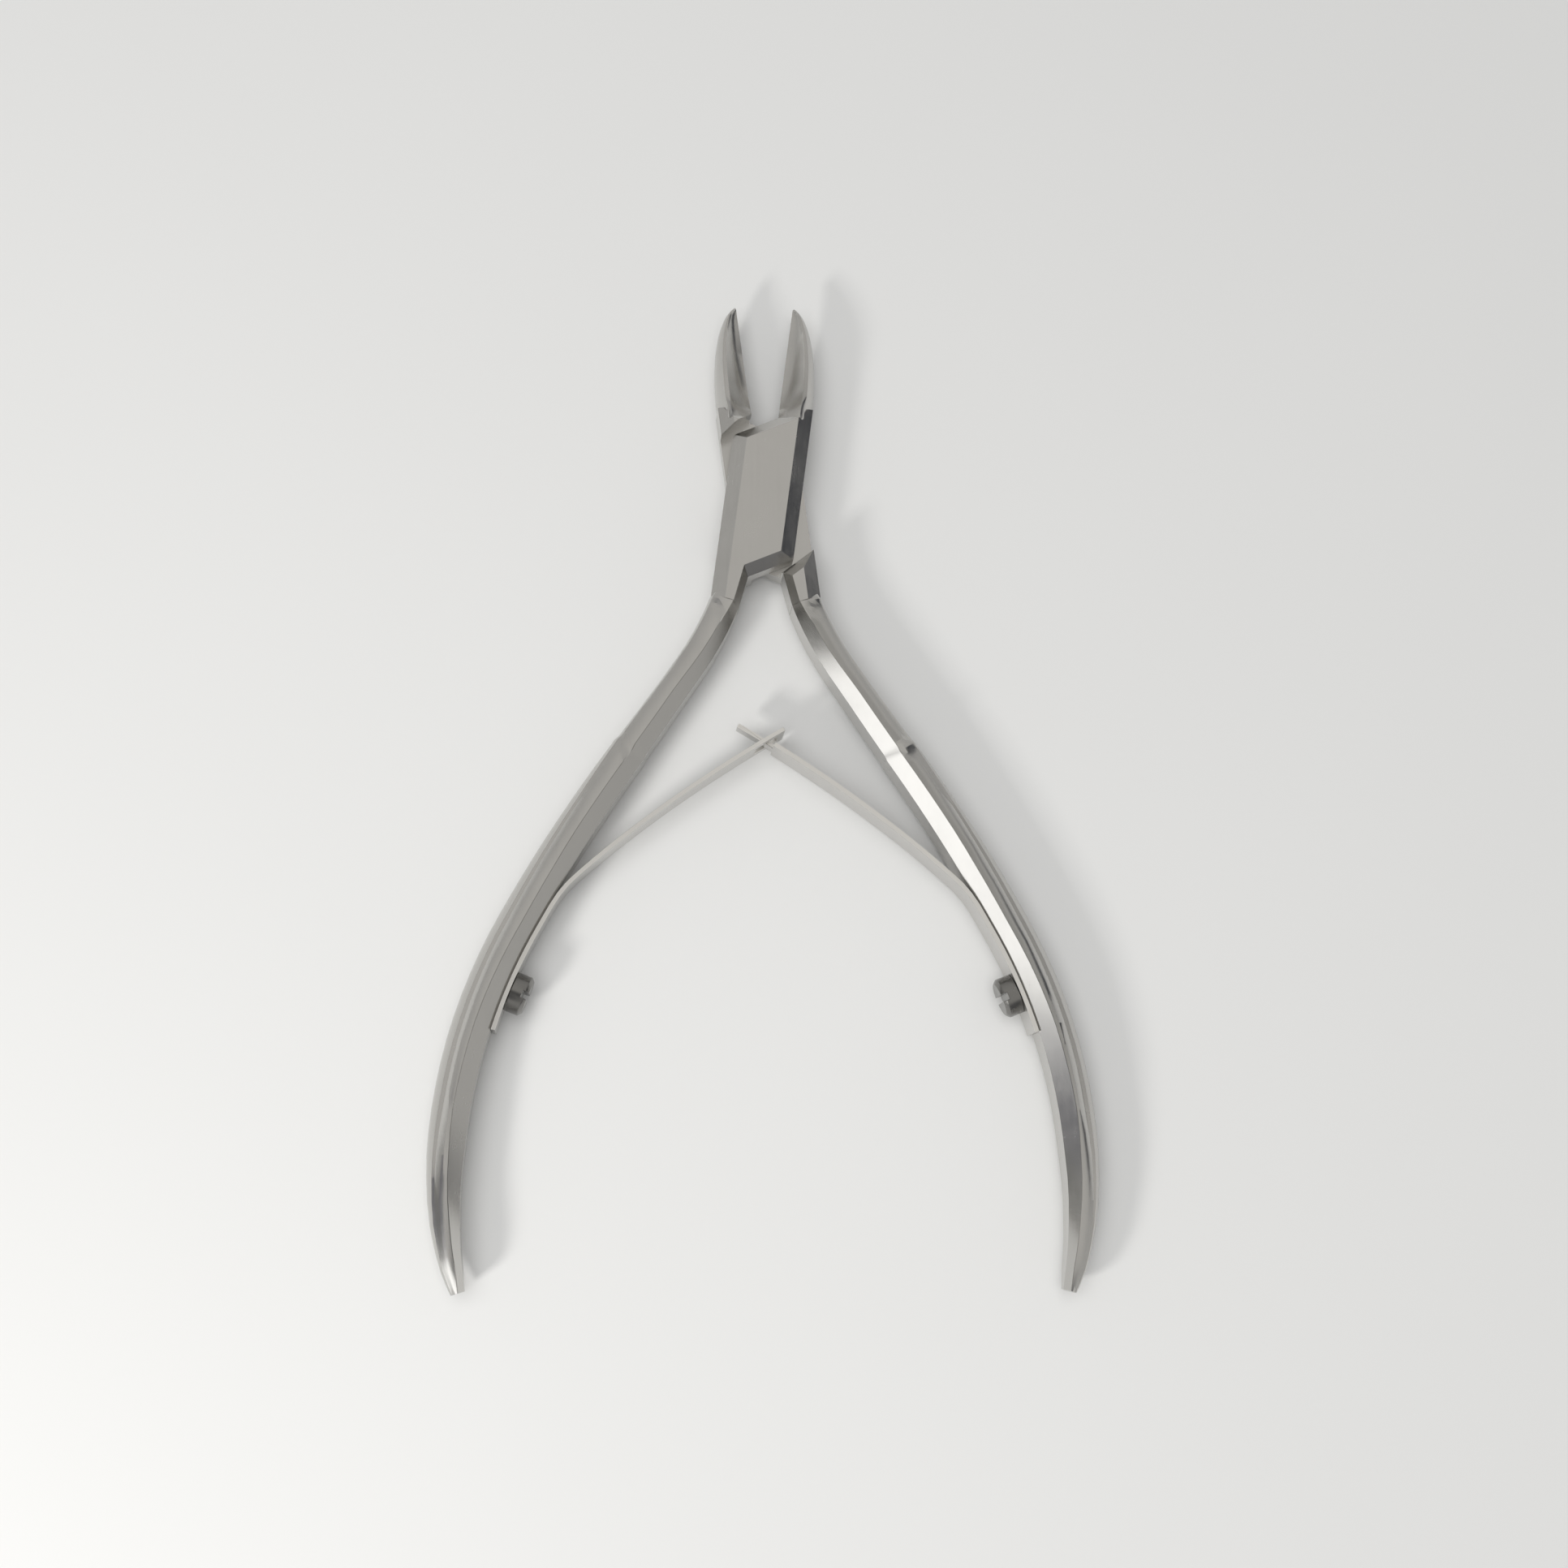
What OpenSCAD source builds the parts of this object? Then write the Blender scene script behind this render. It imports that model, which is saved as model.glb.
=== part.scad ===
// Lap-joint cuticle nipper, lying flat on its back face with the jaws towards +Y.
// The origin is at the middle of the outline, on the plane that the nipper lies on.
// Each lever is drawn in its closed position, with the pivot at x = y = 0, and then turned open.

/* [Joint] */
// Thickness of the joint, across both lapped plates
joint_t = 7.2; // [6:0.1:9]
// Half width of the joint on the handle side of each lever
joint_handle_side = 5.0; // [4.6:0.1:6]
// Half width of the joint on the jaw side of each lever
joint_jaw_side = 3.9; // [3.6:0.1:4.5]
// Distance from the pivot to the upper edge of the plate
plate_top = 10.2; // [9.6:0.1:11]
// Distance from the pivot to the lower edge of the plate
plate_bottom = 6.3; // [6:0.1:7]
// Slope of the plate's upper and lower edges
plate_slope = 30; // [26:1:33]
// Gap between the two lapped plates
lap_gap = 0.06; // [0.02:0.01:0.2]
// Gap between a plate's edge and the shoulder that it closes against
shoulder_gap = 0.5; // [0.4:0.05:0.8]
// Width of the chamfers along the sides of the joint
side_chamfer_w = 1.6; // [0.8:0.1:2]
// Width of the chamfers along the plate's upper and lower edges
edge_chamfer_w = 1.2; // [0.6:0.1:1.5]
// Depth of all the chamfers on the joint
chamfer_t = 1.3; // [0.8:0.1:1.8]

/* [Opening] */
// Angle that each lever stands open from the centre line at rest
half_open = 7.5; // [6:0.5:9]

/* [Jaws] */
// Distance from the pivot to the jaw tips
jaw_reach = 26; // [22:0.1:30]
// Height above the back face at which the cutting edges meet
edge_z = 4.0; // [3.4:0.1:4.4]
// Thickness of the land along each cutting edge
edge_land = 0.16; // [0.1:0.02:0.4]
// Thickness of a jaw at its tip
tip_t = 1.0; // [0.6:0.1:2]
// Share of the jaw's width that the hollow grind takes
hollow_share = 0.62; // [0.5:0.01:0.7]

/* [Handles] */
// Depth of the handles, front to back
handle_t = 7.2; // [6:0.1:9]
// Depth of the handles at their ends
handle_end_t = 5.2; // [4:0.1:7]
// Width of the shank between the joint and the grip
shank_w = 3.6; // [3.2:0.1:4]
// Width of the handle at the middle of the grip
grip_w = 4.5; // [4:0.1:5.5]
// Width of the handle at its very end
handle_end_w = 1.6; // [1.2:0.1:2.4]
// Width of the flat bevel along the inner side
bevel_w = 1.6; // [0.8:0.1:2]
// Depth of the bevel along the inner side
bevel_t = 1.3; // [0.8:0.1:1.8]
// Depth of the groove that runs along the handle
groove_t = 0.3; // [0.1:0.05:0.5]
// Outward step where the grip begins
grip_step = 0.25; // [0:0.05:0.5]
// Length along the handle to the start of the grip
grip_start = 25.5; // [20:0.5:30]

/* [Springs] */
// Thickness of the spring leaves
leaf_t = 0.5; // [0.3:0.05:0.7]
// Width of the spring leaves, front to back
leaf_w = 5.2; // [4:0.1:6]
// Width of the tongue at the end of the right leaf
tongue_w = 2.2; // [1.6:0.1:2.8]
// Clearance round the tongue in the window of the left leaf
window_gap = 0.3; // [0.2:0.05:0.5]
// Length along the handle to the spring screws
screw_station = 57; // [54:0.5:59]

/* [Screws] */
// Diameter of the spring screws' heads
spring_head_d = 4.6; // [4:0.1:5]
// Height of the spring screws' heads
spring_head_t = 2.0; // [1.4:0.1:2.6]
// Diameter of the spring screws' threads
spring_thread_d = 2.0; // [1.6:0.1:2.4]
// Depth that the spring screws enter the handles
spring_thread_l = 2.6; // [2:0.1:3]
// Diameter of the pivot screw's bearing shank
pivot_d = 4.0; // [3:0.1:4.4]
// Diameter of the pivot screw's head
pivot_head_d = 6.0; // [5:0.1:6.4]
// Thickness of the pivot screw's head
pivot_head_t = 1.2; // [0.8:0.1:1.6]
// Diameter of the pivot screw's thread
pivot_thread_d = 3.0; // [2:0.1:3.4]
// Length of the pivot screw's thread in the front plate
pivot_thread_l = 2.4; // [1.6:0.1:2.6]
// Radial clearance of the pivot shank in its bore
running_gap = 0.03; // [0.01:0.01:0.08]
// Radial clearance of the threads in their holes
thread_gap = 0.02; // [0.01:0.01:0.05]
// Width of the screwdriver slots
slot_w = 0.8; // [0.5:0.1:1]
// Depth of the screwdriver slots
slot_t = 0.7; // [0.4:0.1:0.9]

/* [Hidden] */
$fn = 64;
steel = "silver";
spring_steel = "gainsboro";
screw_steel = "darkgray";

lap_z = joint_t / 2;                      // height of the plane between the plates
seat_gap = 0.05;                          // gap between a leaf and the handle behind it
handle_root = [2.5, -5.8];                  // start of the handle's centre line
root_heading = 5.5;                         // its direction there, from -Y towards +X
// The centre line as arcs, each a length and the angle that it turns through
handle_arcs = [[4, 6], [10, 15], [12, 1.6], [24, -7.2], [30, -27.8], [12.2, -17.6]];
handle_l = total(handle_arcs);
step_l = 0.6;                             // length of the ramp into a groove or step
groove_start = 5.6;                       // where the groove begins at the joint
root_station = 5.2;                       // where the handle comes out of the joint
outer_band_w = 1.35;                      // width of the rounded outer band on the grip
shank_band_w = 0.5;                       // width of the same band on the shank
band_drop = 1;                            // fall of the groove's floor to its crease
back_trim = 0.4;                          // the back plate's lower edge is this much higher
corner_r = 1;                             // radius of the plate's upper corner
bevel_wall = 0.12;                        // width of the wall between bevel and groove
jaw_straight = 13.5;                      // where the jaw's outer side starts to curve
jaw_fullness = 0.55;                      // exponent of the jaw's outer curve
jaw_root_y = 9;                           // start of the jaw inside the joint
jaw_end = 0.998;                          // share of the jaw's curve at its blunt tip
leaf_leave = 46;                          // station where the leaf leaves the handle
leaf_tail = 62.2;                         // station of the leaf's lower end
leaf_arcs = [[4, 18], [8, 4], [33, 12]];  // the free part of the leaf, as arcs
leaf_cross = crossing(10, total(leaf_arcs));  // length to where the two leaves cross
leaf_long = leaf_cross + 3.7;             // length to the right leaf's tongue end
leaf_short = leaf_cross + 2.4;            // length to the left leaf's end
window_l = 3.0;                           // length of the window in the left leaf
cut = 60;                                 // larger than any piece that is cut
tip_y = (jaw_straight + (jaw_reach - jaw_straight) * jaw_end) * cos(half_open);
end_y = min([for (q = handle_ring(handle_l)) q.x * sin(half_open) + q.y * cos(half_open)]);
pivot_y = -(tip_y + end_y) / 2;           // distance from the origin to the pivot

function total(arcs, i = 0) = i == len(arcs) ? 0 : arcs[i][0] + total(arcs, i + 1);

// A place is [x, y, heading], and heading runs from -Y towards +X.
function after_arc(p, l, turn) =
    abs(turn) < 1e-6 ? [p.x + l * sin(p.z), p.y - l * cos(p.z), p.z]
    : let (r = l / (turn * PI / 180), h = p.z + turn)
      [p.x + r * (cos(p.z) - cos(h)), p.y - r * (sin(h) - sin(p.z)), h];

function walk(p, arcs, s, i = 0) =
    i == len(arcs) ? p
    : s <= arcs[i][0] ? after_arc(p, s, arcs[i][1] * s / arcs[i][0])
    : walk(after_arc(p, arcs[i][0], arcs[i][1]), arcs, s - arcs[i][0], i + 1);

function handle_place(s) = walk([handle_root.x, handle_root.y, root_heading], handle_arcs, s);

function ramp(s, start) = min(max((s - start) / step_l, 0), 1);

function handle_w(s) =
    lookup(s, [[0, shank_w], [18, shank_w + 0.1], [grip_start, shank_w + 0.4],
               [grip_start + step_l, shank_w + 0.4 + grip_step], [42, grip_w],
               [64, grip_w], [76, grip_w - 0.2], [84, grip_w - 1], [90, grip_w - 2.1],
               [handle_l, handle_end_w]]);

function handle_depth(s) =
    lookup(s, [[0, handle_t], [62, handle_t], [80, handle_t - 0.6],
               [handle_l - 2, handle_end_t], [handle_l, handle_end_t - 1.4]]);

// Depth of the groove, whose ends run later beside the bevel (across = 0) than further out.
function groove(s, across) =
    let (lag = lookup(across, [[0, 2], [0.35, 0.5], [0.7, 0]]))
    groove_t * (ramp(s, groove_start + lag) - ramp(s, grip_start - step_l + lag / 2)
                + ramp(s, grip_start + step_l + lag / 2));

// Half of the handle's section, from the inner face to the outermost line: [across, depth].
function half_section(s) =
    let (w = handle_w(s), d = handle_depth(s) / 2, share = min(1, w / grip_w),
         bw = bevel_w * lookup(s, [[5, 0.5], [8.4, 0.75], [17, 0.95], [38, 1.05], [50, 0.95],
                                   [62, 1.1], [73, 1.1], [80, 0.85], [90, 0.4]]),
         band = lookup(s, [[13, shank_band_w], [22, shank_band_w], [34, outer_band_w * 0.74],
                           [50, outer_band_w], [73, outer_band_w], [80, outer_band_w * 0.75],
                           [92, outer_band_w * 0.3]]),
         drop = band_drop * share, foot = -w / 2 + bw + bevel_wall, crease = w / 2 - band)
    concat(
        [[-w / 2, d - bevel_t], [-w / 2 + bw, d], [foot, d - groove(s, 0)]],
        [for (t = [0.35, 0.7, 1])
            [foot + (crease - foot) * t, d - groove(s, t) - drop * pow(t, 1.8)]],
        [for (a = [70 : -20 : 10])
            [crease + band * cos(a), (d - groove(s, 1) - drop) * sin(a)]]);

function handle_ring(s) =
    let (p = handle_place(s), top = half_section(s), n = len(top), w = handle_w(s),
         k = lookup(s, [[0, 0.7], [root_station - 0.8, 0.9], [root_station, 0.98],
                       [root_station + 0.4, 1]]),
         uv = concat(top, [[w / 2, 0]], [for (i = [n - 1 : -1 : 0]) [top[i].x, -top[i].y]]))
    [for (q = reverse(uv)) [p.x + k * q.x * cos(p.z), p.y + k * q.x * sin(p.z), lap_z + k * q.y]];

// A closed solid through a list of rings that all have the same number of points. Each end is
// closed with triangles about its middle.
module loft(rings) {
    n = len(rings[0]);
    last = len(rings) - 1;
    far = len(rings) * n;
    polyhedron(
        points = concat([for (ring = rings) each ring], [middle(rings[0]), middle(rings[last])]),
        faces = concat(
            [for (k = [0 : last - 1], i = [0 : n - 1])
                each [[k * n + i, (k + 1) * n + i, (k + 1) * n + (i + 1) % n],
                      [k * n + i, (k + 1) * n + (i + 1) % n, k * n + (i + 1) % n]]],
            [for (i = [0 : n - 1]) [far, i, (i + 1) % n]],
            [for (i = [0 : n - 1]) [far + 1, last * n + (i + 1) % n, last * n + i]]),
        convexity = 8);
}

function middle(ring) = [for (k = [0 : 2]) sum([for (q = ring) q[k]]) / len(ring)];

function sum(list, i = 0) = i == len(list) ? 0 : list[i] + sum(list, i + 1);

module handle() {
    stations = [0, root_station - 0.8, root_station,
                for (i = [0 : 5]) groove_start + i * step_l, each [10 : 2 : 24],
                for (i = [-1 : 4]) grip_start + i * step_l, each [29.5 : 2.5 : 84.5],
                each [86.5 : 1.5 : handle_l - 1.4], handle_l - 0.7, handle_l - 0.25,
                handle_l];
    loft([for (s = stations) handle_ring(s)]);
}

// The outer line of the jaw, as its distance from the cutting edge
function jaw_w(y) =
    let (u = max(0, (y - jaw_straight) / (jaw_reach - jaw_straight)))
    joint_jaw_side * pow(max(0, 1 - u * u), jaw_fullness);

// The jaw's section at y. Towards the joint the hollow fades out and the land grows taller.
function jaw_ring(y) =
    let (u = max(0, (y - jaw_straight) / (jaw_reach - jaw_straight)), w = max(jaw_w(y), 0.2),
         taper = pow(u, 1.4), root = y < plate_top + 1.5,
         top = lap_z + (joint_t / 2) * (1 - taper) + (edge_z - lap_z + tip_t / 2) * taper
               - (y < jaw_straight - 0.1 ? 0.05 : 0),
         low = (edge_z - tip_t / 2) * taper + (y < jaw_straight - 0.1 ? 0.05 : 0),
         land = lookup(y, [[jaw_straight - 1.6, 1.7], [jaw_straight, 0.7],
                           [jaw_straight + 2, edge_land]]),
         curl = lookup(y, [[jaw_straight - 1.6, 1], [jaw_straight + 2, 1.6]]),
         ridge = w * hollow_share, side = (top + low) / 2, rise = top - edge_z - land,
         bulge = lookup(y, [[jaw_straight - 0.5, 1.3], [jaw_straight + 1, 1]]),
         k = root ? 0.8 : 1)
    [for (q = concat(
            [for (t = [0, 0.3, 0.55, 0.8, 1])
                [ridge * t, edge_z + land + rise * pow(t, curl)]],
            [for (a = [70 : -20 : -70])
                [ridge + (w - ridge) * pow(cos(a), bulge),
                 side + (top - low) / 2 * sign(a) * pow(abs(sin(a)), bulge)]],
            [for (t = [1, 0.5, 0])
                [ridge * t, low + (edge_z - edge_land / 2 - low) * (1 - t)]]))
        [root ? 0.2 + k * q.x : q.x, y, lap_z + k * (q.y - lap_z)]];

module jaw() {
    curve = jaw_reach - jaw_straight;
    loft([for (y = [plate_top - 0.4, plate_top + 1.65, plate_top + 2.2, jaw_straight - 0.5,
                    for (u = [0, each [0.08 : 0.08 : 0.88], 0.93, 0.97, 0.99, jaw_end])
                        jaw_straight + curve * u])
             jaw_ring(y)]);
}

// Height of the plate's upper or lower edge line at x, at a distance from the pivot
function slope_y(x, distance) = (distance + x * sin(plate_slope)) / cos(plate_slope);

// A long bar along +X that cuts a chamfer of width w and depth t from the back face at y = 0.
module chamfer_cutter(w, t) {
    rotate([90, 0, 90])
        translate([0, 0, -cut / 2])
            linear_extrude(cut)
                polygon([[-w, 0], [-w, -w], [w, -w], [w, 2 * t], [0, t]]);
}

// The joint's block in the closed position, with its chamfers, for the lever whose jaw is at +X.
module joint_block(bottom) {
    difference() {
        union() {
            plate(bottom);
            handle_root(bottom);
        }
        both_faces() {
            translate([joint_jaw_side, 0, 0])
                rotate(-90)
                    chamfer_cutter(side_chamfer_w, chamfer_t + 0.05);
            translate([-joint_handle_side, 0, 0])
                rotate(90)
                    chamfer_cutter(side_chamfer_w, chamfer_t + 0.05);
        }
    }
}

// The plate, with the chamfers along its upper and lower edges
module plate(bottom) {
    left = -joint_handle_side;
    corner = [left + corner_r,
              slope_y(left, plate_top) - corner_r * tan((90 - plate_slope) / 2)];
    difference() {
        linear_extrude(joint_t)
            polygon(concat(
                [[left, slope_y(left, -bottom)], [joint_jaw_side, slope_y(joint_jaw_side, -bottom)],
                 [joint_jaw_side, jaw_straight - 0.1], [joint_jaw_side - 0.7, jaw_straight - 0.3],
                 [joint_jaw_side * 0.54, plate_top + 2.1], [1.2, plate_top + 1.6],
                 [0, slope_y(0, plate_top)]],
                [for (a = [90 + plate_slope : 15 : 180])
                    corner + corner_r * [cos(a), sin(a)]]));
        both_faces()
            rotate(plate_slope) {
                translate([0, plate_top, 0])
                    chamfer_cutter(edge_chamfer_w, chamfer_t);
                translate([0, -bottom, 0])
                    rotate(180)
                        chamfer_cutter(edge_chamfer_w, chamfer_t);
            }
    }
}

// The part of the joint that runs down into the handle, with the bevel on its inner side
module handle_root(bottom) {
    left = -joint_handle_side;
    corner = [-1.06, slope_y(-1.06, -bottom)];
    p = handle_place(root_station);
    low = [-p.x + handle_w(root_station) / 2 * cos(p.z), p.y - handle_w(root_station) / 2 * sin(p.z)];
    high = corner + (corner - low) * 0.9;
    difference() {
        linear_extrude(joint_t)
            polygon([[left, high.y], [left, low.y + 0.6], low, high]);
        both_faces()
            translate(corner)
                rotate(atan2(low.y - high.y, low.x - high.x))
                    chamfer_cutter(bevel_w * 0.5, chamfer_t);
    }
}

// Cuts made in the back face, and again in the front face
module both_faces() {
    children();
    translate([0, 0, joint_t])
        mirror([0, 0, 1])
            children();
}

// The strip between the two shoulders, where the other lever's plate lies.
module lap_cut() {
    low = -plate_bottom - shoulder_gap;
    rotate(-plate_slope) {
        translate([-cut / 2, low, -cut])
            cube([cut, plate_top - low + shoulder_gap, cut + lap_z + lap_gap / 2]);
        translate([0, low, 0])
            chamfer_cutter(edge_chamfer_w, chamfer_t);
    }
}

// One lever in the closed position, its jaw at +X and its handle at -X, full at the front.
module closed_lever() {
    difference() {
        union() {
            joint_block(plate_bottom);
            jaw();
            mirror([1, 0, 0])
                handle();
        }
        lap_cut();
        spring_screw_hole();
    }
}

// Moves a drawing to a station on the left handle's inner face, with its +Z pointing inwards.
module at_inner_face(s) {
    p = handle_place(s);
    translate([-p.x, p.y, lap_z])
        rotate(-p.z)
            translate([handle_w(s) / 2, 0, 0])
                rotate([0, 90, 0])
                    children();
}

module spring_screw_hole() {
    at_inner_face(screw_station)
        translate([0, 0, -spring_thread_l - 0.3])
            cylinder(r = spring_thread_d / 2 + thread_gap, h = spring_thread_l + 2);
}

// Turns a lever's drawing open about the pivot and moves it to its place in the frame.
module opened(turn) {
    translate([0, pivot_y, 0])
        rotate(turn)
            children();
}

module front_lever() {
    color(steel)
        opened(-half_open)
            difference() {
                closed_lever();
                translate([0, 0, lap_z - 1])
                    cylinder(r = pivot_thread_d / 2 + thread_gap, h = 1 + pivot_thread_l + 0.2);
            }
}

module back_lever() {
    color(steel)
        opened(half_open)
            difference() {
                translate([0, 0, joint_t])
                    rotate([0, 180, 0])
                        flipped_jaw_lever();
                translate([0, 0, -1])
                    cylinder(r = pivot_d / 2 + running_gap, h = joint_t);
                translate([0, 0, -1])
                    cylinder(r = pivot_head_d / 2 + 4 * running_gap, h = 1 + pivot_head_t + 0.05);
            }
}

// The lever turned over: its jaw keeps its hollow on the front, so it is mirrored in depth.
module flipped_jaw_lever() {
    difference() {
        union() {
            joint_block(plate_bottom - back_trim);
            translate([0, 0, joint_t])
                mirror([0, 0, 1])
                    jaw();
            mirror([1, 0, 0])
                handle();
        }
        lap_cut();
        spring_screw_hole();
    }
}

module pivot_screw() {
    bearing_l = lap_z - pivot_head_t;
    color(screw_steel)
        opened(0)
        difference() {
            union() {
                cylinder(d = pivot_head_d, h = pivot_head_t);
                cylinder(d = pivot_d, h = pivot_head_t + bearing_l);
                cylinder(d = pivot_thread_d, h = lap_z + pivot_thread_l);
            }
            translate([-cut / 2, -slot_w / 2, -1])
                cube([cut, slot_w, 1 + slot_t]);
        }
}

function leaf_place(s) =
    let (p = handle_place(leaf_leave + max(-s, 0)),
         w = handle_w(leaf_leave + max(-s, 0)) / 2 + seat_gap + leaf_t / 2,
         a = [p.x - w * cos(p.z), p.y - w * sin(p.z)])
    s <= 0 ? [a.x, a.y, p.z]
    : let (q = walk([-a.x, -a.y, p.z], leaf_arcs, s)) [-q.x, -q.y, q.z];

// The length along the leaf at which it crosses the centre line in the open pose
function crossing(from, to, n = 24) =
    let (half = (from + to) / 2, p = leaf_place(half))
    n == 0 ? half
    : p.x * cos(half_open) - p.y * sin(half_open) > 0 ? crossing(half, to, n - 1)
    : crossing(from, half, n - 1);

// One side of a leaf as points: negative distances lie along the handle.
function leaf_side(from, to, side) =
    let (steps = max(2, ceil((to - from) / 1.5)))
    [for (i = [0 : steps])
        let (p = leaf_place(from + (to - from) * i / steps))
        [p.x + cos(p.z) * side, p.y + sin(p.z) * side]];

// A right-hand leaf in the closed lever's frame, from its tail to a length past the handle.
module leaf_strip(from, to, w, t = leaf_t) {
    translate([0, 0, lap_z - w / 2])
        linear_extrude(w)
            polygon(concat(leaf_side(from, to, t / 2), reverse(leaf_side(from, to, -t / 2))));
}

function reverse(list) = [for (i = [len(list) - 1 : -1 : 0]) list[i]];

module leaf_screw_hole() {
    mirror([1, 0, 0])
        at_inner_face(screw_station)
            translate([0, 0, -2])
                cylinder(r = spring_thread_d / 2 + 0.1, h = 6);
}

module left_spring() {
    color(spring_steel)
        opened(-half_open)
            mirror([1, 0, 0])
                difference() {
                    leaf_strip(leaf_leave - leaf_tail, leaf_short, leaf_w);
                    leaf_screw_hole();
                    leaf_strip(leaf_cross - window_l / 2, leaf_cross + window_l / 2,
                               tongue_w + 2 * window_gap, 4);
                }
}

module right_spring() {
    shoulder = leaf_cross - 1.1;
    color(spring_steel)
        opened(half_open)
            difference() {
                union() {
                    leaf_strip(leaf_leave - leaf_tail, shoulder, leaf_w);
                    leaf_strip(shoulder - 1, leaf_long, tongue_w);
                }
                leaf_screw_hole();
            }
}

// A spring screw on the left handle of a closed lever.
module spring_screw() {
    slot_z = leaf_t + 2 * seat_gap + spring_head_t;
    at_inner_face(screw_station)
        difference() {
            union() {
                translate([0, 0, leaf_t + 2 * seat_gap])
                    cylinder(d = spring_head_d, h = spring_head_t - 0.4);
                translate([0, 0, slot_z - 0.4])
                    cylinder(d1 = spring_head_d, d2 = spring_head_d - 0.8, h = 0.4);
                translate([0, 0, -spring_thread_l])
                    cylinder(d = spring_thread_d, h = spring_thread_l + leaf_t + 1);
            }
            translate([-cut / 2, -slot_w / 2, slot_z - slot_t])
                cube([cut, slot_w, cut]);
        }
}

module left_spring_screw() {
    color(screw_steel)
        opened(-half_open)
            spring_screw();
}

module right_spring_screw() {
    color(screw_steel)
        opened(half_open)
            mirror([1, 0, 0])
                spring_screw();
}

front_lever();
back_lever();
pivot_screw();
left_spring();
right_spring();
left_spring_screw();
right_spring_screw();
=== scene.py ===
"""Cuticle nipper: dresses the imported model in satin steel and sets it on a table.

Run it as a script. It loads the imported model, gives every lever, leaf spring and screw
its finished surface, lays the nipper on a lit table and hands the scene over.
"""

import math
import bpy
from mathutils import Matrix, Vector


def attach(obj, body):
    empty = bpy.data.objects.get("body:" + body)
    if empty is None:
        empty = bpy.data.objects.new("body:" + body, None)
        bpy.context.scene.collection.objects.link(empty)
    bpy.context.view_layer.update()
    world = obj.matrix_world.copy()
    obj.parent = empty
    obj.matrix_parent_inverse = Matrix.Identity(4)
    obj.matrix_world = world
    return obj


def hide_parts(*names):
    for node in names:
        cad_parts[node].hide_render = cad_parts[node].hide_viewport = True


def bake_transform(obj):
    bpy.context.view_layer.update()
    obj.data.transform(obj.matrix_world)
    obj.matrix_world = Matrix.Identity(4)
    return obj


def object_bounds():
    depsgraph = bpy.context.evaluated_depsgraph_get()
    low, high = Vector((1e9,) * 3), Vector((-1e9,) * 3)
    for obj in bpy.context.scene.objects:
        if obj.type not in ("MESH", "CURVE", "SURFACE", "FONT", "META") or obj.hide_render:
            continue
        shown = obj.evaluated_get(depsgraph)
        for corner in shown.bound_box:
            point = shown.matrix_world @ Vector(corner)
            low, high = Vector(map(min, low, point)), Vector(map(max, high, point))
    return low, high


bl_info = {
    "name": "Cuticle Nipper Finish",
    "version": (1, 0, 0),
    "blender": (4, 5, 0),
    "location": "View3D > Sidebar > Nipper",
    "description": "Finishes and lights the levers, springs and screws of a nipper",
    "category": "Object",
}

import bpy
from bpy.props import FloatProperty, FloatVectorProperty, PointerProperty

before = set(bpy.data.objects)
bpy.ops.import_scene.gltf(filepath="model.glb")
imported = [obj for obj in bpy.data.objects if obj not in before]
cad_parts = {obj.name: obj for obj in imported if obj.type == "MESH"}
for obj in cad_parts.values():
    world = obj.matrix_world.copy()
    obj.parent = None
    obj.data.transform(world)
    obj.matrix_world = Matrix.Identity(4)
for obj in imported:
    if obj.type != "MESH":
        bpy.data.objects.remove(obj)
CAD_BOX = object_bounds()

MM = 0.001
FRONT = "front"
BACK = "back"

# Corners nearer than this are welded, and faces that turn less than this are joined
WELD_GAP = 0.0005 * MM
JOIN_TURN = math.radians(0.25)
# Facets that turn less than this are shaded as one smooth surface
SMOOTH_TURN = math.radians(16.0)
# Edges that turn more than these are broken with a fine round
LEVER_SHARP = math.radians(22.0)
LEAF_SHARP = math.radians(35.0)
SCREW_SHARP = math.radians(30.0)
ROUND_STEPS = 2
BROAD_FACE_WEIGHT = 60

# The way each lever's grinding lines lean
LEVER_GRIND_TURN = math.radians(14.0)
# How often the grinding lines change along the steel, for each change across it
GRIND_STRETCH = 0.035
# What the colour and the satin take from the grinding lines and from the clouds
LINE_SHARE = 0.35
CLOUD_SHARE = 0.65
# How far the colour goes below and above its middle, as shares of it
DARKER_PART = 0.15
LIGHTER_PART = 0.10
# How far the roughness goes below and above its middle
SMOOTHER_PART = 0.05
ROUGHER_PART = 0.06
# Pits for each grinding line, and how deep they are beside the lines
PIT_GRAIN = 0.9
PIT_SHARE = 0.5
RELIEF_DEPTH = 0.02 * MM
# A leaf face that looks at least this far up or down belongs to a long edge, and gets the
# painted highlight
LEAF_HIGHLIGHT_FACING = 0.7
# How many times brighter than the spring colour those long edges are painted, a painted
# highlight for the light they catch, and how much rougher they are
LEAF_EDGE_PAINTED_HIGHLIGHT = 1.45
LEAF_EDGE_ROUGHER = 0.08

CAMERA_SPOT = (-0.0196762, -0.0539212, 0.290206)
CAMERA_TURN = (0.1861947, -0.0755143, -0.0034897)
CAMERA_WIDTH = math.radians(34.364)
CAMERA_NEAR = 0.01
CAMERA_FAR = 20.0
TABLE_DROP = 0.02 * MM
TABLE_ROUGHNESS = 0.6
TABLE_SHEEN = 0.25
# The table's clouds: how many to a metre, and the shares of its colour they run between
TABLE_CLOUDS = 14.0
TABLE_DARK = 0.985
TABLE_LIGHT = 1.01

LAMP_COLOUR = (1.0, 0.985, 0.96)
CEILING_COLOUR = (1.0, 1.0, 1.0)
CEILING_SIDE = math.radians(200.0)
CEILING_RISE = math.radians(80.0)
CEILING_DISTANCE = 1.2
CEILING_SIZE = 0.9
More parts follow.
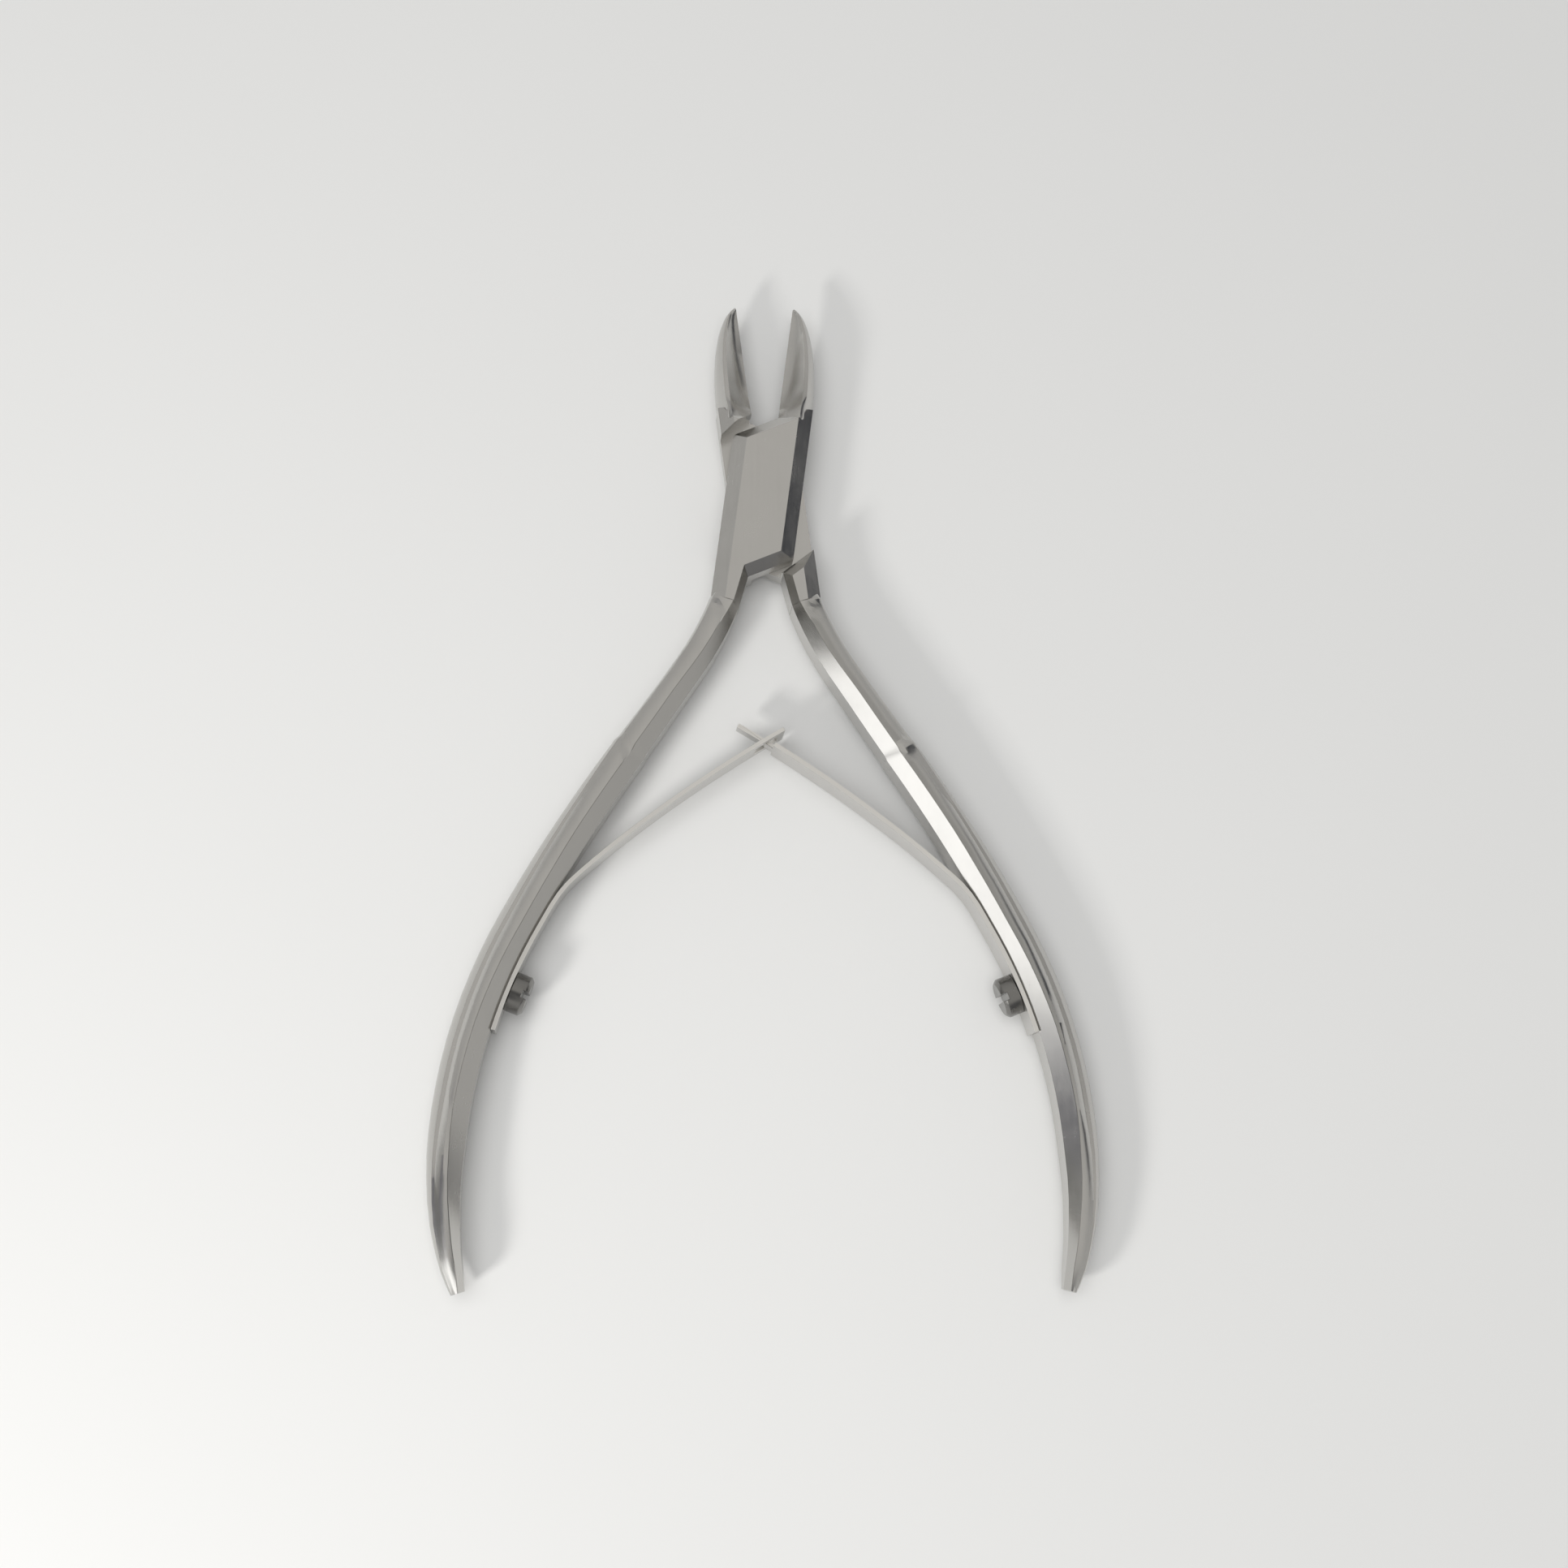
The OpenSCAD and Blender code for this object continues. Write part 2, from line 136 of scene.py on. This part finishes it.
# The side, in degrees, from which the even room light is a little stronger
BRIGHT_SIDE = 205.0
ROOM_DIM = (0.90, 0.90, 0.89, 1.0)
ROOM_FULL = (1.0, 1.0, 1.0, 1.0)
WALL_TONE = (0.50, 0.497, 0.485, 1.0)
CEILING_TONE = (0.685, 0.672, 0.645, 1.0)
# Patches of the room that the steel mirrors: turn round the table, height above it,
# the radius that is full, the radius where it fades out (all in degrees), its colour
ROOM_PATCHES = (
    (215.0, 80.0, 5.0, 15.0, (0.12, 0.12, 0.12)),
    (235.0, 55.0, 8.0, 24.0, (0.22, 0.22, 0.22)),
    (303.0, 22.0, 12.0, 30.0, (0.20, 0.20, 0.205)),
    (30.0, 46.0, 8.0, 22.0, (0.42, 0.415, 0.40)),
    (16.0, 6.0, 13.0, 21.0, (0.006, 0.009, 0.020)),
    (184.0, 30.0, 8.0, 16.0, (0.17, 0.17, 0.195)),
    (194.0, 7.0, 9.0, 18.0, (0.15, 0.15, 0.14)),
    (216.0, 26.0, 12.0, 21.0, (2.0, 2.0, 1.99)),
)

# Sockets of a colour mix
MIX_FACTOR = 0
MIX_FIRST = 6
MIX_SECOND = 7
MIX_RESULT = 2


# ---------------------------------------------------------------- settings


class NipperShape(bpy.types.PropertyGroup):
    """Sizes of the small rounds and of the stretch over which a leaf flexes."""

    lever_edge: FloatProperty(
        name="Lever edge round",
        description="Width of the fine round left on a lever's edges by polishing",
        default=0.07 * MM,
        min=0.0,
        max=0.3 * MM,
        precision=5,
        unit="LENGTH",
    )
    leaf_edge: FloatProperty(
        name="Leaf edge round",
        description="Width of the round on the long edges of a leaf spring",
        default=0.06 * MM,
        min=0.0,
        max=0.2 * MM,
        precision=5,
        unit="LENGTH",
    )
    screw_edge: FloatProperty(
        name="Screw edge round",
        description="Width of the round on a screw's rim and slot",
        default=0.06 * MM,
        min=0.0,
        max=0.2 * MM,
        precision=5,
        unit="LENGTH",
    )
    flex_length: FloatProperty(
        name="Flexing stretch",
        description="Length of leaf next to the handle that bends as the handles close",
        default=10.0 * MM,
        min=2.0 * MM,
        max=14.0 * MM,
        precision=4,
        unit="LENGTH",
    )


class NipperSteel(bpy.types.PropertyGroup):
    """Colours and finish of the three steels."""

    lever_colour: FloatVectorProperty(
        name="Lever steel",
        description="Colour of the satin stainless steel of the levers",
        subtype="COLOR",
        size=3,
        min=0.0,
        max=1.0,
        default=(0.575, 0.565, 0.545),
    )
    spring_colour: FloatVectorProperty(
        name="Spring steel",
        description="Colour of the rolled spring steel of the leaves",
        subtype="COLOR",
        size=3,
        min=0.0,
        max=1.0,
        default=(0.60, 0.59, 0.57),
    )
    screw_colour: FloatVectorProperty(
        name="Screw steel",
        description="Colour of the turned steel of the screws",
        subtype="COLOR",
        size=3,
        min=0.0,
        max=1.0,
        default=(0.25, 0.245, 0.235),
    )
    lever_roughness: FloatProperty(
        name="Lever roughness",
        description="Middle roughness of the satin finish",
        default=0.24,
        min=0.05,
        max=0.8,
        subtype="FACTOR",
    )
    spring_roughness: FloatProperty(
        name="Spring roughness",
        description="Middle roughness of the leaf springs",
        default=0.22,
        min=0.05,
        max=0.8,
        subtype="FACTOR",
    )
    screw_roughness: FloatProperty(
        name="Screw roughness",
        description="Middle roughness of the screws",
        default=0.24,
        min=0.05,
        max=0.8,
        subtype="FACTOR",
    )


class NipperStage(bpy.types.PropertyGroup):
    """The table, the lamp and the surroundings that the steel mirrors."""

    table_colour: FloatVectorProperty(
        name="Table",
        description="Colour of the table top",
        subtype="COLOR",
        size=3,
        min=0.0,
        max=1.0,
        default=(0.80, 0.80, 0.79),
    )
    table_size: FloatProperty(
        name="Table size",
        description="Length of the square table top's sides",
        default=4.0,
        min=0.5,
        max=10.0,
        unit="LENGTH",
    )
    lamp_power: FloatProperty(
        name="Lamp power",
        description="Power of the soft lamp at the lower left",
        default=0.52,
        min=0.0,
        max=100.0,
        unit="POWER",
    )
    lamp_rise: FloatProperty(
        name="Lamp height angle",
        description="Angle of the lamp above the table",
        default=math.radians(33.0),
        min=math.radians(5.0),
        max=math.radians(85.0),
        subtype="ANGLE",
        unit="ROTATION",
    )
    lamp_side: FloatProperty(
        name="Lamp side angle",
        description="Turn of the lamp round the table, from the right-hand side",
        default=math.radians(225.0),
        min=0.0,
        max=math.radians(360.0),
        subtype="ANGLE",
        unit="ROTATION",
    )
    lamp_distance: FloatProperty(
        name="Lamp distance",
        description="Distance of the lamp from the middle of the nipper",
        default=0.375,
        min=0.1,
        max=5.0,
        unit="LENGTH",
    )
    ceiling_power: FloatProperty(
        name="Ceiling panel power",
        description="Power of the wide soft panel above the table",
        default=7.3,
        min=0.0,
        max=100.0,
        unit="POWER",
    )
    lamp_size: FloatProperty(
        name="Lamp size",
        description="Side of the square lamp",
        default=0.06,
        min=0.02,
        max=3.0,
        unit="LENGTH",
    )
    sky: FloatProperty(
        name="Surroundings",
        description="Brightness of the room round the table",
        default=0.36,
        min=0.0,
        max=5.0,
    )


# ---------------------------------------------------------------- workshop helpers


def deselect_all():
    """Leaves edit mode and lets go of every object."""
    if bpy.context.mode != "OBJECT":
        bpy.ops.object.mode_set(mode="OBJECT")
    bpy.ops.object.select_all(action="DESELECT")


def pick(piece):
    """Selects one object alone and makes it active."""
    deselect_all()
    piece.select_set(True)
    bpy.context.view_layer.objects.active = piece


def copy_of_node(node, name):
    """Copies a CAD node with its own mesh and welds the copy into closed solids."""
    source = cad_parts[node]
    pick(source)
    bpy.ops.object.duplicate(linked=False)
    piece = bpy.context.view_layer.objects.active
    if piece is source:
        raise RuntimeError(node + " was not copied")
    piece.name = name
    piece.data.name = name
    piece.parent = None
    bpy.ops.object.mode_set(mode="EDIT")
    bpy.ops.mesh.select_all(action="SELECT")
    bpy.ops.mesh.remove_doubles(threshold=WELD_GAP)
    bpy.ops.mesh.select_all(action="SELECT")
    bpy.ops.mesh.dissolve_limited(angle_limit=JOIN_TURN)
    bpy.ops.object.mode_set(mode="OBJECT")
    return piece


def round_edges(piece, width, sharp_angle):
    """Breaks the sharp edges with a fine bevel, and keeps broad faces looking flat."""
    pick(piece)
    bevel = piece.modifiers.new("edge_round", "BEVEL")
    bevel.width = width
    bevel.segments = ROUND_STEPS
    bevel.limit_method = "ANGLE"
    bevel.angle_limit = sharp_angle
    bevel.use_clamp_overlap = True
    bpy.ops.object.modifier_apply(modifier=bevel.name)
    bpy.ops.object.shade_smooth_by_angle(angle=SMOOTH_TURN)
    even = piece.modifiers.new("broad_faces", "WEIGHTED_NORMAL")
    even.mode = "FACE_AREA"
    even.weight = BROAD_FACE_WEIGHT
    even.keep_sharp = True
    bpy.ops.object.modifier_apply(modifier=even.name)


def dress(piece, finish):
    """Gives a piece one finish and takes away what it had."""
    piece.data.materials.clear()
    piece.data.materials.append(finish)


def dress_node(node, finish):
    """Gives the hidden CAD node the same finish as the piece that stands for it."""
    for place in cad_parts[node].material_slots:
        place.material = finish


# ---------------------------------------------------------------- steels


def wire(tree, source, out, target, into):
    """Joins one node's output to another's input."""
    tree.links.new(source.outputs[out], target.inputs[into])


def add(tree, kind, x, y, **settings):
    """Adds a node at a place in the tree and sets its options."""
    made = tree.nodes.new(kind)
    made.location = (x, y)
    for key, value in settings.items():
        setattr(made, key, value)
    return made


def steel(name, colour, roughness, turn, grain, mottle, bump, contrast=1.0):
    """Stainless steel with fine grinding lines, cloudy patches and an uneven satin."""
    made = bpy.data.materials.new(name)
    made.use_nodes = True
    tree = made.node_tree
    tree.nodes.clear()
    out = add(tree, "ShaderNodeOutputMaterial", 900, 0)
    shader = add(tree, "ShaderNodeBsdfPrincipled", 600, 0)
    shader.inputs["Metallic"].default_value = 1.0
    wire(tree, shader, "BSDF", out, "Surface")
    place = add(tree, "ShaderNodeTexCoord", -1200, 0)

    lines_map = add(tree, "ShaderNodeMapping", -1000, 200)
    lines_map.inputs["Rotation"].default_value = (0.0, 0.0, turn)
    lines_map.inputs["Scale"].default_value = (grain, grain * GRIND_STRETCH, grain)
    lines = add(tree, "ShaderNodeTexNoise", -780, 200)
    lines.inputs["Scale"].default_value = 1.0
    lines.inputs["Detail"].default_value = 4.0
    lines.inputs["Roughness"].default_value = 0.6
    wire(tree, place, "Object", lines_map, "Vector")
    wire(tree, lines_map, "Vector", lines, "Vector")

    cloud = add(tree, "ShaderNodeTexNoise", -780, -100)
    cloud.inputs["Scale"].default_value = mottle
    cloud.inputs["Detail"].default_value = 5.0
    cloud.inputs["Roughness"].default_value = 0.62
    wire(tree, place, "Object", cloud, "Vector")

    pits = add(tree, "ShaderNodeTexNoise", -780, -400)
    pits.inputs["Scale"].default_value = grain * PIT_GRAIN
    pits.inputs["Detail"].default_value = 2.0
    wire(tree, place, "Object", pits, "Vector")

    tone = add(tree, "ShaderNodeMix", 120, 260, data_type="RGBA", blend_type="MIX")
    dark = [c * (1.0 - DARKER_PART * contrast) for c in colour]
    light = [min(1.0, c * (1.0 + LIGHTER_PART * contrast)) for c in colour]
    tone.inputs[MIX_FIRST].default_value = (*dark, 1.0)
    tone.inputs[MIX_SECOND].default_value = (*light, 1.0)
    line_share = add(tree, "ShaderNodeMath", -300, 260, operation="MULTIPLY_ADD")
    line_share.inputs[1].default_value = LINE_SHARE
    line_share.inputs[2].default_value = 0.0
    wire(tree, lines, "Fac", line_share, 0)
    pattern = add(tree, "ShaderNodeMath", -100, 260, operation="MULTIPLY_ADD")
    pattern.inputs[1].default_value = CLOUD_SHARE
    wire(tree, cloud, "Fac", pattern, 0)
    wire(tree, line_share, 0, pattern, 2)
    wire(tree, pattern, 0, tone, MIX_FACTOR)
    wire(tree, tone, MIX_RESULT, shader, "Base Color")

    satin = add(tree, "ShaderNodeMapRange", 120, -40)
    satin.inputs["From Min"].default_value = 0.3
    satin.inputs["From Max"].default_value = 0.7
    satin.inputs["To Min"].default_value = roughness - SMOOTHER_PART * contrast
    satin.inputs["To Max"].default_value = roughness + ROUGHER_PART * contrast
    wire(tree, pattern, 0, satin, "Value")
    wire(tree, satin, "Result", shader, "Roughness")

    height = add(tree, "ShaderNodeMath", -100, -260, operation="MULTIPLY_ADD")
    height.inputs[1].default_value = PIT_SHARE
    wire(tree, pits, "Fac", height, 0)
    wire(tree, lines, "Fac", height, 2)
    relief = add(tree, "ShaderNodeBump", 320, -260)
    relief.inputs["Strength"].default_value = bump
    relief.inputs["Distance"].default_value = RELIEF_DEPTH
    wire(tree, height, 0, relief, "Height")
    wire(tree, relief, "Normal", shader, "Normal")
    return made


# ---------------------------------------------------------------- pieces


class NIPPER_OT_finish_levers(bpy.types.Operator):
    """Smooth the two forged levers and give them satin stainless steel"""

    bl_idname = "nipper.finish_levers"
    bl_label = "Finish levers"
    bl_options = {"REGISTER", "UNDO"}

    def execute(self, context):
        shape = context.scene.nipper_shape
        look = context.scene.nipper_steel
        for node, body, turn in (
            ("front_lever", FRONT, LEVER_GRIND_TURN),
            ("back_lever", BACK, -LEVER_GRIND_TURN),
        ):
            piece = copy_of_node(node, node + "_satin")
            round_edges(piece, shape.lever_edge, LEVER_SHARP)
            finish = steel(
                node + "_steel",
                look.lever_colour,
                look.lever_roughness,
                turn=turn,
                grain=2600.0,
                mottle=240.0,
                bump=0.03,
                contrast=0.8,
            )
            dress(piece, finish)
            dress_node(node, finish)
            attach(piece, body)
            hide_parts(node)
        return {"FINISHED"}


class NIPPER_OT_finish_springs(bpy.types.Operator):
    """Round the edges of the two leaf springs and give them spring steel"""

    bl_idname = "nipper.finish_springs"
    bl_label = "Finish leaf springs"
    bl_options = {"REGISTER", "UNDO"}

    def execute(self, context):
        shape = context.scene.nipper_shape
        look = context.scene.nipper_steel
        finish = steel(
            "leaf_steel",
            look.spring_colour,
            look.spring_roughness,
            turn=0.0,
            grain=1400.0,
            mottle=220.0,
            bump=0.02,
            contrast=0.4,
        )
        # a brighter copy of the spring steel: the painted highlight for the long edges
        painted_highlight_finish = steel(
            "leaf_edge_painted_highlight",
            [min(1.0, part * LEAF_EDGE_PAINTED_HIGHLIGHT) for part in look.spring_colour],
            look.spring_roughness + LEAF_EDGE_ROUGHER,
            turn=0.0,
            grain=1400.0,
            mottle=220.0,
            bump=0.02,
            contrast=0.3,
        )
        for node, handle, leaf, side in (
            ("left_spring", FRONT, "left_leaf", -1.0),
            ("right_spring", BACK, "right_leaf", 1.0),
        ):
            piece = copy_of_node(node, node + "_leaf")
            round_edges(piece, shape.leaf_edge, LEAF_SHARP)
            dress(piece, finish)
            dress_node(node, finish)
            # painted highlight: the long edges that face up and down get a brighter copy
            # of the spring steel, for the light that falls on them
            piece.data.materials.append(painted_highlight_finish)
            for face in piece.data.polygons:
                if abs(face.normal.z) > LEAF_HIGHLIGHT_FACING:
                    face.material_index = 1
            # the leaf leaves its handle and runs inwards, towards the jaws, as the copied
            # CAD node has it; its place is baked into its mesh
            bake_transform(piece)
            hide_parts(node)
        return {"FINISHED"}


class NIPPER_OT_finish_screws(bpy.types.Operator):
    """Round the rims and slots of the pivot screw and of the two spring screws"""

    bl_idname = "nipper.finish_screws"
    bl_label = "Finish screws"
    bl_options = {"REGISTER", "UNDO"}

    def execute(self, context):
        shape = context.scene.nipper_shape
        look = context.scene.nipper_steel
        finish = steel(
            "screw_steel_finish",
            look.screw_colour,
            look.screw_roughness,
            turn=0.0,
            grain=3000.0,
            mottle=500.0,
            bump=0.08,
        )
        for node, body in (
            ("pivot_screw", FRONT),
            ("left_spring_screw", FRONT),
            ("right_spring_screw", BACK),
        ):
            piece = copy_of_node(node, node + "_turned")
            round_edges(piece, shape.screw_edge, SCREW_SHARP)
            dress(piece, finish)
            dress_node(node, finish)
            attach(piece, body)
            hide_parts(node)
        return {"FINISHED"}


# ---------------------------------------------------------------- stage


def lay_table(settings):
    """A large pale table top, a little way under the nipper's back face."""
    deselect_all()
    low = CAD_BOX[0][2]
    bpy.ops.mesh.primitive_plane_add(
        size=settings.table_size, location=(0.0, 0.0, low - TABLE_DROP)
    )
    table = bpy.context.view_layer.objects.active
    table.name = "table_top"
    bpy.ops.object.transform_apply(location=True, rotation=True, scale=True)
    made = bpy.data.materials.new("table_paint")
    made.use_nodes = True
    tree = made.node_tree
    shader = tree.nodes["Principled BSDF"]
    shader.inputs["Roughness"].default_value = TABLE_ROUGHNESS
    shader.inputs["Specular IOR Level"].default_value = TABLE_SHEEN
    place = add(tree, "ShaderNodeTexCoord", -900, 0)
    cloud = add(tree, "ShaderNodeTexNoise", -700, 0)
    cloud.inputs["Scale"].default_value = TABLE_CLOUDS
    cloud.inputs["Detail"].default_value = 4.0
    wire(tree, place, "Object", cloud, "Vector")
    tone = add(tree, "ShaderNodeMix", -400, 0, data_type="RGBA", blend_type="MIX")
    dark = [c * TABLE_DARK for c in settings.table_colour]
    light = [c * TABLE_LIGHT for c in settings.table_colour]
    tone.inputs[MIX_FIRST].default_value = (*dark, 1.0)
    tone.inputs[MIX_SECOND].default_value = (*light, 1.0)
    wire(tree, cloud, "Fac", tone, MIX_FACTOR)
    wire(tree, tone, MIX_RESULT, shader, "Base Color")
    table.data.materials.append(made)


def hang_lamp(name, side, rise, distance, size, power, colour):
    """A square lamp that looks at the middle of the nipper."""
    deselect_all()
    spot = (
        distance * math.cos(rise) * math.cos(side),
        distance * math.cos(rise) * math.sin(side),
        distance * math.sin(rise),
    )
    bpy.ops.object.light_add(
        type="AREA",
        location=spot,
        rotation=(math.pi / 2 - rise, 0.0, side + math.pi / 2),
    )
    lamp = bpy.context.view_layer.objects.active
    lamp.name = name
    lamp.data.shape = "SQUARE"
    lamp.data.size = size
    lamp.data.energy = power
    lamp.data.color = colour
    # the steel mirrors the painted room and not the lamps
    lamp.visible_glossy = False


def facing(side, rise):
    """The direction at a turn round the table and a height above it, in degrees."""
    turn, up = math.radians(side), math.radians(rise)
    return (
        math.cos(up) * math.cos(turn),
        math.cos(up) * math.sin(turn),
        math.sin(up),
    )


def paint_patch(tree, ray, below, number, toward, inner, outer, colour):
    """Paints one soft round patch of the room over what is already painted."""
    x = -700 + 260 * number
    near = add(tree, "ShaderNodeVectorMath", x, -300, operation="DOT_PRODUCT")
    near.inputs[1].default_value = toward
    wire(tree, ray, "Generated", near, 0)
    edge = add(tree, "ShaderNodeMapRange", x, -480, interpolation_type="SMOOTHSTEP")
    edge.inputs["From Min"].default_value = math.cos(math.radians(outer))
    edge.inputs["From Max"].default_value = math.cos(math.radians(inner))
    wire(tree, near, "Value", edge, "Value")
    mix = add(tree, "ShaderNodeMix", x + 130, -100, data_type="RGBA")
    mix.inputs[MIX_SECOND].default_value = (*colour, 1.0)
    wire(tree, edge, "Result", mix, MIX_FACTOR)
    tree.links.new(below, mix.inputs[MIX_FIRST])
    return mix.outputs[MIX_RESULT]


def paint_room(settings):
    """Even light for the table, and a room with a window for the steel to mirror."""
    world = bpy.data.worlds.new("room")
    bpy.context.scene.world = world
    world.use_nodes = True
    tree = world.node_tree
    tree.nodes.clear()
    out = add(tree, "ShaderNodeOutputWorld", 1900, 0)
    choose = add(tree, "ShaderNodeMixShader", 1700, 0)
    wire(tree, choose, "Shader", out, "Surface")
    path = add(tree, "ShaderNodeLightPath", 1400, 300)
    wire(tree, path, "Is Glossy Ray", choose, 0)
    ray = add(tree, "ShaderNodeTexCoord", -1200, 0)

    # even light for the table, a little stronger from the lower left
    even = add(tree, "ShaderNodeBackground", 1400, 120)
    even.inputs["Strength"].default_value = settings.sky
    lean = add(tree, "ShaderNodeVectorMath", 900, 300, operation="DOT_PRODUCT")
    lean.inputs[1].default_value = facing(BRIGHT_SIDE, 0.0)
    wire(tree, ray, "Generated", lean, 0)
    tint = add(tree, "ShaderNodeValToRGB", 1080, 200)
    tint.color_ramp.elements[0].color = ROOM_DIM
    tint.color_ramp.elements[1].color = ROOM_FULL
    spread = add(tree, "ShaderNodeMapRange", 980, 120)
    spread.inputs["From Min"].default_value = -1.0
    spread.inputs["From Max"].default_value = 1.0
    wire(tree, lean, "Value", spread, "Value")
    wire(tree, spread, "Result", tint, "Fac")
    wire(tree, tint, "Color", even, "Color")
    wire(tree, even, "Background", choose, 1)

    # what the steel mirrors: walls, ceiling, then patches laid over them
    mirrored = add(tree, "ShaderNodeBackground", 1400, -100)
    wire(tree, mirrored, "Background", choose, 2)
    parts = add(tree, "ShaderNodeSeparateXYZ", -1000, 120)
    wire(tree, ray, "Generated", parts, "Vector")
    walls = add(tree, "ShaderNodeValToRGB", -800, 120)
    ramp = walls.color_ramp
    ramp.elements[0].position = 0.0
    ramp.elements[0].color = WALL_TONE
    ramp.elements[1].position = 1.0
    ramp.elements[1].color = CEILING_TONE
    wire(tree, parts, "Z", walls, "Fac")
    painted = walls.outputs["Color"]
    for number, (side, rise, inner, outer, colour) in enumerate(ROOM_PATCHES):
        painted = paint_patch(
            tree, ray, painted, number, facing(side, rise), inner, outer, colour
        )
    tree.links.new(painted, mirrored.inputs["Color"])


def place_camera():
    """A camera above the lower left, leaning over the nipper."""
    deselect_all()
    bpy.ops.object.camera_add(location=CAMERA_SPOT, rotation=CAMERA_TURN)
    camera = bpy.context.view_layer.objects.active
    camera.name = "table_camera"
    camera.data.sensor_fit = "HORIZONTAL"
    camera.data.angle = CAMERA_WIDTH
    camera.data.clip_start = CAMERA_NEAR
    camera.data.clip_end = CAMERA_FAR
    bpy.context.scene.camera = camera


class NIPPER_OT_set_stage(bpy.types.Operator):
    """Lay the table and set the camera, the lamp and the room light"""

    bl_idname = "nipper.set_stage"
    bl_label = "Set the stage"
    bl_options = {"REGISTER", "UNDO"}

    def execute(self, context):
        settings = context.scene.nipper_stage
        place_camera()
        lay_table(settings)
        hang_lamp(
            "left_lamp",
            settings.lamp_side,
            settings.lamp_rise,
            settings.lamp_distance,
            settings.lamp_size,
            settings.lamp_power,
            LAMP_COLOUR,
        )
        hang_lamp(
            "ceiling_panel",
            CEILING_SIDE,
            CEILING_RISE,
            CEILING_DISTANCE,
            CEILING_SIZE,
            settings.ceiling_power,
            CEILING_COLOUR,
        )
        paint_room(settings)
        context.scene.view_settings.view_transform = "Standard"
        context.scene.view_settings.look = "None"
        return {"FINISHED"}


class NIPPER_PT_panel(bpy.types.Panel):
    """Sizes, colours and steps of the nipper's finish"""

    bl_label = "Cuticle nipper"
    bl_idname = "NIPPER_PT_panel"
    bl_space_type = "VIEW_3D"
    bl_region_type = "UI"
    bl_category = "Nipper"

    def draw(self, context):
        layout = self.layout
        for title, group in (
            ("Edges and springs", context.scene.nipper_shape),
            ("Steel", context.scene.nipper_steel),
            ("Stage", context.scene.nipper_stage),
        ):
            box = layout.box()
            box.label(text=title)
            for name in group.bl_rna.properties.keys():
                if name not in ("rna_type", "name"):
                    box.prop(group, name)
        layout.separator()
        layout.operator(NIPPER_OT_set_stage.bl_idname)
        layout.operator(NIPPER_OT_finish_levers.bl_idname)
        layout.operator(NIPPER_OT_finish_springs.bl_idname)
        layout.operator(NIPPER_OT_finish_screws.bl_idname)


CLASSES = (
    NipperShape,
    NipperSteel,
    NipperStage,
    NIPPER_OT_finish_levers,
    NIPPER_OT_finish_springs,
    NIPPER_OT_finish_screws,
    NIPPER_OT_set_stage,
    NIPPER_PT_panel,
)


def register():
    """Adds the settings, operators and panel to Blender."""
    for kind in CLASSES:
        bpy.utils.register_class(kind)
    bpy.types.Scene.nipper_shape = PointerProperty(type=NipperShape)
    bpy.types.Scene.nipper_steel = PointerProperty(type=NipperSteel)
    bpy.types.Scene.nipper_stage = PointerProperty(type=NipperStage)


def unregister():
    """Takes the settings, operators and panel out of Blender again."""
    del bpy.types.Scene.nipper_stage
    del bpy.types.Scene.nipper_steel
    del bpy.types.Scene.nipper_shape
    for kind in reversed(CLASSES):
        bpy.utils.unregister_class(kind)


def main():
    """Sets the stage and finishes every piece."""
    register()
    bpy.ops.nipper.set_stage()
    bpy.ops.nipper.finish_levers()
    bpy.ops.nipper.finish_springs()
    bpy.ops.nipper.finish_screws()
    deselect_all()


if __name__ == "__main__":
    main()
